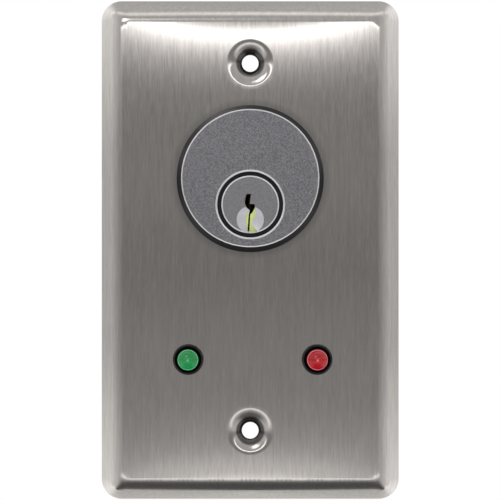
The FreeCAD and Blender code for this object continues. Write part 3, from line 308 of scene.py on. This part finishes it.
def plated_plug():
    """The plug: satin face with a turned edge and a milled dish that carry a painted highlight,
    painted shade in its groove and deep in the keyway, brass within.
    """
    material, tree, shader = new_material("plug_nickel")
    grit = noise(tree, (1, 1, 1), 3600, 3.0, 0.85)
    colour = blend_colours(tree, spread(tree, grit, 0.36, 0.64), *PLUG_TONES)
    radius = radius_about(tree, PLUG_AXIS)
    edge = between(tree, radius, *PLUG_EDGE)
    dish = math_node(tree, "LESS_THAN", radius_about(tree, DISH_AXIS), DISH_R)
    dish = math_node(tree, "MULTIPLY", dish, depth_behind(tree, DISH_Y))
    groove = math_node(tree, "GREATER_THAN", radius, GROOVE_R)
    groove = math_node(tree, "MULTIPLY", groove, depth_behind(tree, GROOVE_Y))
    inside = depth_behind(tree, KEYWAY_Y)
    deep = depth_behind(tree, DEEP_KEYWAY_Y)
    # Painted highlight on the edge and the dish; painted shade deep in the keyway and in the groove.
    colour = mix_colours(tree, edge, colour, NICKEL_PAINTED_HIGHLIGHT)
    colour = mix_colours(tree, dish, colour, MILLED_DISH_PAINTED_HIGHLIGHT)
    colour = mix_colours(tree, inside, colour, KEYWAY_BRASS)
    colour = mix_colours(tree, deep, colour, KEYWAY_PAINTED_SHADE)
    colour = mix_colours(tree, groove, colour, GROOVE_PAINTED_SHADE)
    tree.links.new(colour, shader.inputs["Base Color"])
    rough = spread(tree, grit, 0.3, 0.7, 0.34, 0.46)
    rough = mix_values(tree, edge, rough, 0.25)
    rough = mix_values(tree, dish, rough, 0.3)
    rough = mix_values(tree, inside, rough, 0.55)
    tree.links.new(rough, shader.inputs["Roughness"])
    tree.links.new(bump(tree, grit, PLATED_HEIGHT), shader.inputs["Normal"])
    # Metallic is lowered where the painted highlight is.
    pale = math_node(tree, "MAXIMUM", edge, dish)
    tree.links.new(mix_values(tree, pale, 1.0, 0.35), shader.inputs["Metallic"])
    return material


def moulded(name, dark, light, rough):
    """Moulded plastic with a faint texture."""
    material, tree, shader = new_material(name)
    grit = noise(tree, (1, 1, 1), 2500, 2.0, 0.6)
    tree.links.new(
        blend_colours(tree, spread(tree, grit, 0.35, 0.65), dark, light), shader.inputs["Base Color"]
    )
    tree.links.new(spread(tree, grit, 0.3, 0.7, rough, rough + 0.12), shader.inputs["Roughness"])
    tree.links.new(bump(tree, grit, MOULDED_HEIGHT), shader.inputs["Normal"])
    return material


def lamp_epoxy(name, deep, shallow, rim, axis):
    """Tinted epoxy of an indicator lamp: it glows a little; a pale ring near its rim is a painted
    highlight, a pale spot at its centre is the die with a painted highlight, and its edge is a
    painted dark reflection of the holder.
    """
    material, tree, shader = new_material(name)
    swirl = noise(tree, (1, 1, 1), 500, 1.0)
    radius = radius_about(tree, axis)
    colour = blend_colours(tree, spread(tree, swirl, 0.3, 0.7), deep, shallow)
    # Painted highlight: a pale ring near the rim, and a pale spot at the centre that also stands for
    # the die.
    colour = mix_colours(tree, between(tree, radius, *LAMP_RING), colour, rim)
    colour = mix_colours(tree, math_node(tree, "LESS_THAN", radius, LAMP_SPOT_R), colour, rim)
    # Painted dark reflection of the holder round the lens's edge.
    outside = math_node(tree, "GREATER_THAN", radius, LAMP_EDGE_R)
    colour = mix_colours(tree, outside, colour, LAMP_EDGE_PAINTED_REFLECTION)
    tree.links.new(colour, shader.inputs["Base Color"])
    tree.links.new(spread(tree, swirl, 0.3, 0.7, 0.05, 0.09), shader.inputs["Roughness"])
    tree.links.new(colour, shader.inputs["Emission Color"])
    shader.inputs["Emission Strength"].default_value = 0.26
    shader.inputs["Transmission Weight"].default_value = 0.15
    shader.inputs["Coat Weight"].default_value = 0.35
    shader.inputs["Coat Roughness"].default_value = 0.05
    shader.inputs["IOR"].default_value = 1.5
    return material


steel = brushed_steel()
nickel = plated_head()
plug_metal = plated_plug()
brass = satin_metal("bare_brass", (0.62, 0.46, 0.17), (0.80, 0.66, 0.30), 3000, (0.22, 0.34))
# Brass darkened for the key pins: painted shade of the deep keyway.
painted_shade_brass = satin_metal("painted_shade_brass", (0.05, 0.035, 0.018), (0.09, 0.065, 0.03), 3000, (0.4, 0.55))
zinc = satin_metal("bright_zinc", (0.55, 0.56, 0.58), (0.72, 0.73, 0.75), 2500, (0.22, 0.4))
spring = satin_metal("spring_steel", (0.42, 0.42, 0.44), (0.58, 0.58, 0.60), 4000, (0.2, 0.3))
copper = satin_metal("spring_copper", (0.60, 0.33, 0.18), (0.76, 0.48, 0.30), 3000, (0.2, 0.3))
silver = satin_metal("contact_silver", (0.72, 0.72, 0.71), (0.88, 0.88, 0.87), 3000, (0.15, 0.25))
tin = satin_metal("tinned_wire", (0.60, 0.60, 0.59), (0.78, 0.78, 0.77), 3000, (0.2, 0.35))
black = moulded("switch_black", (0.012, 0.012, 0.013), (0.025, 0.025, 0.027), 0.42)
maroon = moulded("cover_red", (0.10, 0.012, 0.010), (0.16, 0.02, 0.016), 0.42)
nylon = moulded("natural_nylon", (0.72, 0.70, 0.62), (0.82, 0.80, 0.73), 0.35)
holder = moulded("holder_black", (0.004, 0.004, 0.004), (0.009, 0.009, 0.009), 0.3)
green = lamp_epoxy(
    "green_epoxy", (0.005, 0.22, 0.05), (0.01, 0.27, 0.07), (0.10, 0.48, 0.22), GREEN_AXIS
)
red = lamp_epoxy(
    "red_epoxy", (0.32, 0.002, 0.006), (0.40, 0.004, 0.010), (0.72, 0.15, 0.18), RED_AXIS
)

FINISHES = {
    "brushed_plate": steel,
    "satin_nickel": nickel,
    "plug_nickel": plug_metal,
    "bare_brass": brass,
    "zinc_cam": zinc,
    "zinc_steel": zinc,
    "spring_steel": spring,
    "switch_black": black,
    "cover_red": maroon,
    "nylon": nylon,
    "spring_copper": copper,
    "contact_silver": silver,
    "green_lens": green,
    "red_lens": red,
    "tinned_wire": tin,
    "holder_black": holder,
}
slot_of = {s["node"]: s["material_slot"] for s in frame["record"]["subparts"]}
for name, piece in nodes.items():
    piece.data.materials.clear()
    # Key pins take the darkened brass: painted shade.
    finish = painted_shade_brass if name.startswith("key_pin") else FINISHES[slot_of[name]]
    piece.data.materials.append(finish)


# ---- the wall plate's skin -------------------------------------------------------------------
def soft_min(a, b, width):
    """The lower of two heights, rounded where they cross."""
    near = np.maximum(width - np.abs(a - b), 0) / width
    return np.minimum(a, b) - near * near * width / 4


def skin_height(x, z):
    """How far the front skin stands off the wall at (x, z)."""
    from_side, from_end = PLATE_WIDTH / 2 - np.abs(x), PLATE_HEIGHT / 2 - np.abs(z)
    inset = soft_min(from_side, from_end, MITRE)
    in_corner = (from_side < CORNER_R) & (from_end < CORNER_R)
    round_inset = CORNER_R - np.hypot(CORNER_R - from_side, CORNER_R - from_end)
    inset = np.where(in_corner, np.minimum(round_inset, inset), inset)
    across, along = np.abs(2 * x / PLATE_WIDTH), np.abs(2 * z / PLATE_HEIGHT)
    crown = along**8 * (1 - 0.85 * across**2) + 0.15 * across**10 * (1 - along**8)
    height = soft_min(inset * FLANK_SLOPE, PLATE_DEPTH - crown, SHOULDER)
    for screw_z in SCREWS_Z:
        radius = np.hypot(x, z - screw_z)
        cone = PLATE_DEPTH - CONE_DROP - (CONE_R - radius) * CONE_SLOPE
        height = soft_min(height, cone, ROLL)
    return height


def skin_normal(x, z):
    """The way the front skin faces, found from its slope."""
    step = 0.02
    dx = (skin_height(x + step, z) - skin_height(x - step, z)) / (2 * step)
    dz = (skin_height(x, z + step) - skin_height(x, z - step)) / (2 * step)
    normal = np.stack([-dx, -np.ones_like(dx), -dz], axis=-1)
    return normal / np.linalg.norm(normal, axis=-1, keepdims=True)


def ring(cx, cz, radius, count, turn=0.0):
    angles = (np.arange(count) + turn) * 2 * math.pi / count
    return [(cx + radius * math.cos(a), cz + radius * math.sin(a)) for a in angles]


def plate_outline(inset):
    """Points round the plate, set in from its edge, anticlockwise."""
    radius = max(CORNER_R - inset, 0.05)
    shift = max(inset - CORNER_R, 0)
    half_x = PLATE_WIDTH / 2 - CORNER_R - shift
    half_z = PLATE_HEIGHT / 2 - CORNER_R - shift

    def on_corner(corner, degrees):
        side_x, side_z = CORNERS[corner % 4]
        angle = math.radians(degrees)
        return side_x * half_x + radius * math.cos(angle), side_z * half_z + radius * math.sin(angle)

    points = []
    for i in range(4):
        for k in range(CORNER_STEPS + 1):
            points.append(on_corner(i, 90 * i + 90 * k / CORNER_STEPS))
        (x0, z0), (x1, z1) = points[-1], on_corner(i + 1, 90 * (i + 1))
        count = int(math.hypot(x1 - x0, z1 - z0) / SIDE_STEP)
        for k in range(1, count):
            t = k / count
            points.append((x0 * (1 - t) + x1 * t, z0 * (1 - t) + z1 * t))
    return points


def inside_plate(x, z):
    """Whether a point on the wall plane is on the plate and not in one of its holes."""
    if any(math.hypot(x - hx, z - hz) < r * 0.995 for hx, hz, r in HOLES):
        return False
    past_x = abs(x) - (PLATE_WIDTH / 2 - CORNER_R)
    past_z = abs(z) - (PLATE_HEIGHT / 2 - CORNER_R)
    if past_x > 0 and past_z > 0:
        return math.hypot(past_x, past_z) < CORNER_R
    return abs(x) < PLATE_WIDTH / 2 and abs(z) < PLATE_HEIGHT / 2


def make_skin():
    """The plate as a triangle mesh: a front skin, the same skin set back by the sheet, and walls."""
    points, edges = [], []

    def loop(new, closed=True):
        first, count = len(points), len(new)
        points.extend(Vector(p) for p in new)
        if closed:
            edges.extend((first + k, first + (k + 1) % count) for k in range(count))

    loop(plate_outline(0.0))
    for inset in EDGE_INSETS:
        loop(plate_outline(inset), False)
    for z in SCREWS_Z:
        loop(ring(0, z, HOLE_R, DIMPLE_STEPS))
        for k, radius in enumerate(DIMPLE_RINGS):
            loop(ring(0, z, radius, DIMPLE_STEPS, 0.5 * (k % 2)), False)
    loop(ring(*CYLINDER, CYLINDER_STEPS))
    for lamp in LAMPS:
        loop(ring(*lamp, LAMP_STEPS))
    openings = [(0, z, GRID_OFF_SCREW) for z in SCREWS_Z]
    openings += [(x, z, r + GRID_OFF_HOLE) for x, z, r in (CYLINDER, *LAMPS)]
    half_x, half_z = PLATE_WIDTH / 2 - GRID_INSET, PLATE_HEIGHT / 2 - GRID_INSET
    grid = []
    for i in range(GRID_ACROSS + 1):
        for j in range(GRID_UP + 1):
            x, z = half_x * (2 * i / GRID_ACROSS - 1), half_z * (2 * j / GRID_UP - 1)
            if all(math.hypot(x - cx, z - cz) > r for cx, cz, r in openings):
                grid.append((x, z))
    loop(grid, False)
    made = delaunay_2d_cdt(points, edges, [], 0, 1e-5)
    where = np.array([(p[0], p[1]) for p in made[0]])
    faces = [f for f in made[2] if inside_plate(*where[list(f)].mean(axis=0))]

    count, n_faces = len(where), len(faces)
    height = skin_height(where[:, 0], where[:, 1])
    normal = skin_normal(where[:, 0], where[:, 1])
    front = np.stack([where[:, 0], -height, where[:, 1]], axis=-1)
    back = front - normal * SHEET
    back[:, 1] = np.minimum(back[:, 1], 0.0)
    # An edge that only one face has is on the rim or on a hole, and gets a wall.
    sides = dict.fromkeys((a, b) for f in faces for a, b in zip(f, (*f[1:], f[0])))
    walls = [(b, a) for a, b in sides if (b, a) not in sides]
    verts = np.concatenate([front, back]) / 1000
    all_faces = [tuple(f) for f in faces]
    all_faces += [tuple(count + i for i in reversed(f)) for f in faces]
    all_faces += [(a, b, b + count, a + count) for a, b in walls]
    mesh = bpy.data.meshes.new("wall_plate")
    mesh.from_pydata([tuple(v) for v in verts], [], all_faces, shade_flat=False)
    mesh.validate()
    if mesh.polygons[0].normal.y >= 0:
        mesh.flip_normals()
    split = []
    for polygon in mesh.polygons:
        for vertex in polygon.vertices:
            if polygon.index < n_faces:
                split.append(normal[vertex])
            elif polygon.index < 2 * n_faces:
                split.append(-normal[vertex - count])
            else:
                split.append(polygon.normal)
    mesh.normals_split_custom_set([tuple(n) for n in split])
    plate = bpy.data.objects.new("wall_plate", mesh)
    bpy.context.collection.objects.link(plate)
    mesh.materials.append(steel)
    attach(plate, "plate")
    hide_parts("faceplate")


make_skin()


# ---- pin springs, each copied into an object of its own on the plate -------------------------
for i in range(1, 6):
    coil = bpy.data.objects.new(f"coil_{i}", nodes[f"pin_spring_{i}"].data.copy())
    bpy.context.collection.objects.link(coil)
    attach(coil, "plate")
    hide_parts(f"pin_spring_{i}")
    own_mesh(coil)


# ---- stage -----------------------------------------------------------------------------------
def floor_paint():
    """Matt white, lifted a little so that it meets the white background softly."""
    material, tree, shader = new_material("floor_paint")
    grit = noise(tree, (1, 1, 1), 40, 2.0)
    pale = blend_colours(tree, spread(tree, grit, 0.3, 0.7), (0.88, 0.88, 0.88), (0.92, 0.92, 0.92))
    tree.links.new(pale, shader.inputs["Base Color"])
    tree.links.new(pale, shader.inputs["Emission Color"])
    shader.inputs["Emission Strength"].default_value = 0.4
    shader.inputs["Roughness"].default_value = 0.9
    return material


def soft_box(name, centre, side, power):
    """A square area light that faces the part's origin."""
    lamp = bpy.data.lights.new(name, "AREA")
    lamp.shape = "RECTANGLE"
    lamp.size = side
    lamp.size_y = side
    lamp.energy = power
    thing = bpy.data.objects.new(name, lamp)
    bpy.context.collection.objects.link(thing)
    thing.location = centre
    thing.rotation_mode = "QUATERNION"
    thing.rotation_quaternion = (-Vector(centre)).to_track_quat("-Z", "Y")


FLOOR_Z, FLOOR_SIDE, FLOOR_BACK = -0.9, 4, 4.3
floor_mesh = bpy.data.meshes.new("floor")
floor_mesh.from_pydata(
    [
        (-FLOOR_SIDE, -FLOOR_SIDE, FLOOR_Z),
        (FLOOR_SIDE, -FLOOR_SIDE, FLOOR_Z),
        (FLOOR_SIDE, FLOOR_BACK, FLOOR_Z),
        (-FLOOR_SIDE, FLOOR_BACK, FLOOR_Z),
    ],
    [],
    [(0, 1, 2, 3)],
)
floor = bpy.data.objects.new("floor", floor_mesh)
bpy.context.collection.objects.link(floor)
floor_mesh.materials.append(floor_paint())
floor.visible_glossy = False


# Degrees from straight in front, up positive, and the brightness there.
UP_AND_DOWN = (
    (-180, 1.0), (-130, 0.95), (-118, 0.8), (-114, 0.72), (-110, 0.13), (-92, 0.1), (-70, 0.1),
    (-50, 0.16), (-34, 0.42), (-25, 0.8), (-19, 1.25), (-16.4, 1.1), (-15.3, 0.55), (-14.6, 0.6),
    (-13.6, 0.78), (-12, 0.52), (-9.8, 0.4), (-7.8, 0.33), (-6, 0.275), (-3.6, 0.28),
    (-1.5, 0.225), (0, 0.215), (1.2, 0.24), (2.2, 0.29), (3.5, 0.26), (5, 0.235), (6.7, 0.245),
    (7.7, 0.31), (9.6, 0.55), (10.3, 0.74), (11.1, 0.98), (12.1, 1.35), (12.8, 2.2), (13.2, 3.2),
    (14.5, 3.2), (15.1, 1.2), (16, 0.55), (17, 0.47), (45, 0.48), (68, 0.55), (80, 1.0),
    (92, 1.1), (100, 0.7), (107, 0.57), (116, 0.53), (130, 0.8), (180, 1.0),
)
# The same, to the side.
SIDE_TO_SIDE = (
    (-180, 1.0), (-130, 0.8), (-106, 0.5), (-84, 0.42), (-66, 0.34), (-34, 0.3), (0, 0.25),
    (34, 0.3), (66, 0.34), (84, 0.42), (106, 0.5), (130, 0.8), (180, 1.0),
)


def studio_sky():
    """A soft studio all round: how bright it is depends on the angle up or down from straight
    in front of the plate, and on how far the direction is to the side."""
    world = bpy.data.worlds.new("studio")
    bpy.context.scene.world = world
    world.use_nodes = True
    tree = world.node_tree
    way = add(tree, "ShaderNodeTexCoord").outputs["Generated"]
    parts = add(tree, "ShaderNodeSeparateXYZ", {"Vector": way}).outputs
    front = math_node(tree, "MULTIPLY", parts["Y"], -1.0)
    angle = math_node(tree, "ARCTAN2", parts["Z"], front)
    upright = ramp(tree, spread(tree, angle, -math.pi, math.pi), UP_AND_DOWN)
    aside = math_node(tree, "ARCTAN2", parts["X"], front)
    across = ramp(tree, spread(tree, aside, -math.pi, math.pi), SIDE_TO_SIDE)
    off_level = math_node(tree, "ABSOLUTE", parts["Z"])
    lift = spread(tree, off_level, 0.07, 0.17, 1.0, 1.75)
    across = math_node(tree, "MULTIPLY", across, lift)
    far_aside = math_node(tree, "ABSOLUTE", parts["X"])
    share = add(
        tree,
        "ShaderNodeMapRange",
        {"Value": far_aside, "From Min": 0.35, "From Max": 0.75},
        interpolation_type="SMOOTHSTEP",
    ).outputs["Result"]
    mixed = add(tree, "ShaderNodeMix", {"Factor": share, "A": upright, "B": across})
    seen = add(tree, "ShaderNodeLightPath").outputs["Is Camera Ray"]
    shown = add(tree, "ShaderNodeMix", {"Factor": seen, "A": mixed.outputs["Result"], "B": 1.0})
    sky = tree.nodes["Background"]
    sky.inputs["Color"].default_value = (1, 1, 1, 1)
    tree.links.new(shown.outputs["Result"], sky.inputs["Strength"])


studio_sky()

soft_box("key_light", (-0.25, -0.7, 0.55), 0.3, 0.5)

camera_data = bpy.data.cameras.new("camera")
camera = bpy.data.objects.new("camera", camera_data)
bpy.context.collection.objects.link(camera)
camera.location = (-0.00005, -0.330, 0.0)
camera.rotation_euler = (math.pi / 2, 0, 0)
camera_data.lens = 103.4
camera_data.sensor_width = 36
camera_data.clip_start = 0.01
bpy.context.scene.camera = camera
bpy.context.scene.view_settings.view_transform = "Standard"
